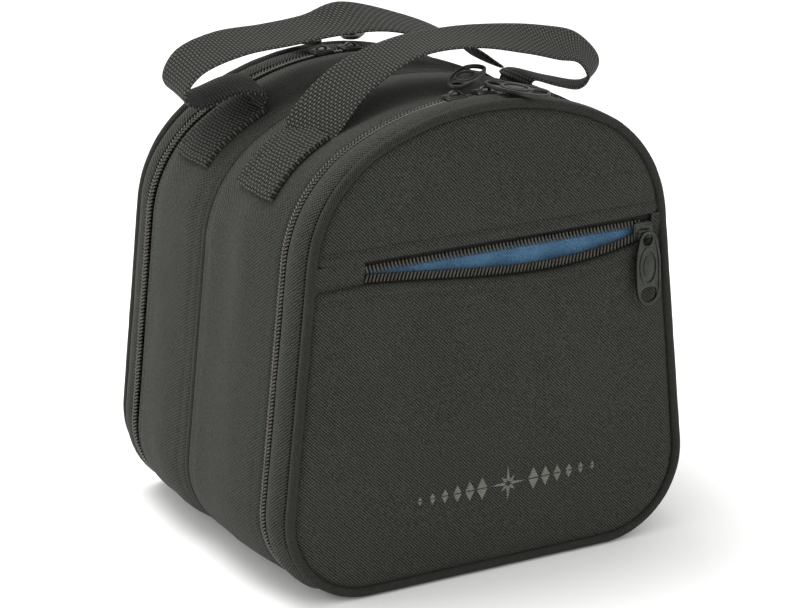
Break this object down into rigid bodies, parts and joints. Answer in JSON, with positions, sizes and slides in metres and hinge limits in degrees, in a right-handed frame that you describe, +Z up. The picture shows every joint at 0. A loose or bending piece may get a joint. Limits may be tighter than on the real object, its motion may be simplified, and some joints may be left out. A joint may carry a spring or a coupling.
{
  "type": "flight_bag",
  "caption": "Small two-compartment padded flight bag in charcoal nylon, with webbing handles, two zip-round lids and a front pocket.",
  "frame": {"origin": "middle of the base, on the floor under the bag, halfway between the front and rear panels", "axes": "x runs left to right across the front panel, y runs from the front panel to the rear, z is up"},
  "size_m": [0.259, 0.2135, 0.2766],
  "materials": {
    "shell_fabric": "matte woven nylon",
    "trim_fabric": "matte woven nylon",
    "lining_fabric": "plain woven nylon, slight sheen",
    "foam": "closed-cell foam",
    "zip_tape": "woven tape",
    "zip_coil": "satin coil",
    "gunmetal": "gunmetal plated, satin",
    "webbing": "coarse woven webbing",
    "emblem_thread": "embroidered thread"
  },
  "bodies": {
    "bag_body": {"centre_seam_binding": "trim_fabric", "divider_foam": "foam", "divider_front_lining": "lining_fabric", "divider_rear_lining": "lining_fabric", "front_gusset": "shell_fabric", "front_gusset_coil": "zip_coil", "front_gusset_lining": "lining_fabric", "front_gusset_zip_tape": "zip_tape", "front_handle_left_end": "webbing", "front_handle_right_end": "webbing", "front_hinge_strip": "shell_fabric", "rear_gusset": "shell_fabric", "rear_gusset_coil": "zip_coil", "rear_gusset_lining": "lining_fabric", "rear_gusset_zip_tape": "zip_tape", "rear_handle_left_end": "webbing", "rear_handle_right_end": "webbing", "rear_hinge_strip": "shell_fabric"},
    "front_lid": {"front_upper_panel": "shell_fabric", "front_lower_panel": "shell_fabric", "front_panel_foam": "foam", "front_panel_lining": "lining_fabric", "front_lid_piping": "trim_fabric", "front_lid_band": "shell_fabric", "front_lid_zip_tape": "zip_tape", "front_lid_coil": "zip_coil", "pocket_upper_tape": "zip_tape", "pocket_lower_tape": "zip_tape", "pocket_upper_coil": "zip_coil", "pocket_lower_coil": "zip_coil", "pocket_lining": "lining_fabric", "pocket_left_tab": "shell_fabric", "pocket_right_tab": "shell_fabric", "front_emblem": "emblem_thread"},
    "rear_lid": {"rear_panel": "shell_fabric", "rear_panel_foam": "foam", "rear_panel_lining": "lining_fabric", "rear_lid_piping": "trim_fabric", "rear_lid_band": "shell_fabric", "rear_lid_zip_tape": "zip_tape", "rear_lid_coil": "zip_coil"},
    "front_handle": {"front_handle_grip": "webbing", "front_handle_left_leg": "webbing", "front_handle_right_leg": "webbing"},
    "rear_handle": {"rear_handle_grip": "webbing", "rear_handle_left_leg": "webbing", "rear_handle_right_leg": "webbing"},
    "front_left_slider_body": {"front_left_slider": "gunmetal"},
    "front_right_slider_body": {"front_right_slider": "gunmetal"},
    "rear_left_slider_body": {"rear_left_slider": "gunmetal"},
    "rear_right_slider_body": {"rear_right_slider": "gunmetal"},
    "pocket_slider_body": {"pocket_slider": "gunmetal"},
    "front_left_pull_body": {"front_left_pull": "gunmetal"},
    "front_right_pull_body": {"front_right_pull": "gunmetal"},
    "rear_left_pull_body": {"rear_left_pull": "gunmetal"},
    "rear_right_pull_body": {"rear_right_pull": "gunmetal"},
    "pocket_pull_body": {"pocket_pull": "gunmetal"}
  },
  "joints": [
    {"name": "front_lid_hinge", "type": "hinge", "parent": "bag_body", "child": "front_lid", "pos_m": [0, -0.0975, 0.0022], "axis": [1, 0, 0], "range_deg": [0, 86]},
    {"name": "rear_lid_hinge", "type": "hinge", "parent": "bag_body", "child": "rear_lid", "pos_m": [0, 0.0975, 0.0022], "axis": [-1, 0, 0], "range_deg": [0, 88]},
    {"name": "front_left_slider_run", "type": "hinge", "parent": "bag_body", "child": "front_left_slider_body", "pos_m": [0, -0.075, 0.1042], "axis": [0, -1, 0], "range_deg": [0, 14]},
    {"name": "front_right_slider_run", "type": "hinge", "parent": "bag_body", "child": "front_right_slider_body", "pos_m": [0, -0.075, 0.1042], "axis": [0, 1, 0], "range_deg": [0, 20]},
    {"name": "rear_left_slider_run", "type": "hinge", "parent": "bag_body", "child": "rear_left_slider_body", "pos_m": [0, 0.076, 0.0942], "axis": [0, -1, 0], "range_deg": [0, 24]},
    {"name": "rear_right_slider_run", "type": "hinge", "parent": "bag_body", "child": "rear_right_slider_body", "pos_m": [0, 0.076, 0.0942], "axis": [0, 1, 0], "range_deg": [0, 24]},
    {"name": "front_left_pull_swing", "type": "hinge", "parent": "front_left_slider_body", "child": "front_left_pull_body", "pos_m": [-0.01007, -0.075, 0.25987], "axis": [0.6441, -0.7649, 0], "range_deg": [0, 10]},
    {"name": "front_right_pull_swing", "type": "hinge", "parent": "front_right_slider_body", "child": "front_right_pull_body", "pos_m": [0.00819, -0.075, 0.26039], "axis": [-0.7121, -0.7021, 0], "range_deg": [0, 90]},
    {"name": "rear_left_pull_swing", "type": "hinge", "parent": "rear_left_slider_body", "child": "rear_left_pull_body", "pos_m": [-0.00928, 0.076, 0.25032], "axis": [0.8645, 0.5026, 0], "range_deg": [0, 90]},
    {"name": "rear_right_pull_swing", "type": "hinge", "parent": "rear_right_slider_body", "child": "rear_right_pull_body", "pos_m": [0.00928, 0.076, 0.25032], "axis": [0.8645, -0.5026, 0], "range_deg": [0, 90]},
    {"name": "pocket_slider_run", "type": "slide", "parent": "front_lid", "child": "pocket_slider_body", "axis": [-1, 0, 0], "range_m": [0, 0.155]},
    {"name": "pocket_pull_swing", "type": "hinge", "parent": "pocket_slider_body", "child": "pocket_pull_body", "pos_m": [0.09, -0.1045, 0.177], "axis": [-1, 0, 0], "range_deg": [0, 150]},
    {"name": "front_handle_swing", "type": "hinge", "parent": "bag_body", "child": "front_handle", "pos_m": [0, -0.035, 0.243], "axis": [-1, 0, 0], "range_deg": [-16, 28], "deforming": ["front_handle_left_leg", "front_handle_right_leg"]},
    {"name": "rear_handle_swing", "type": "hinge", "parent": "bag_body", "child": "rear_handle", "pos_m": [0, 0.043, 0.236], "axis": [1, 0, 0], "range_deg": [-28, 28], "deforming": ["rear_handle_left_leg", "rear_handle_right_leg"]}
  ]
}
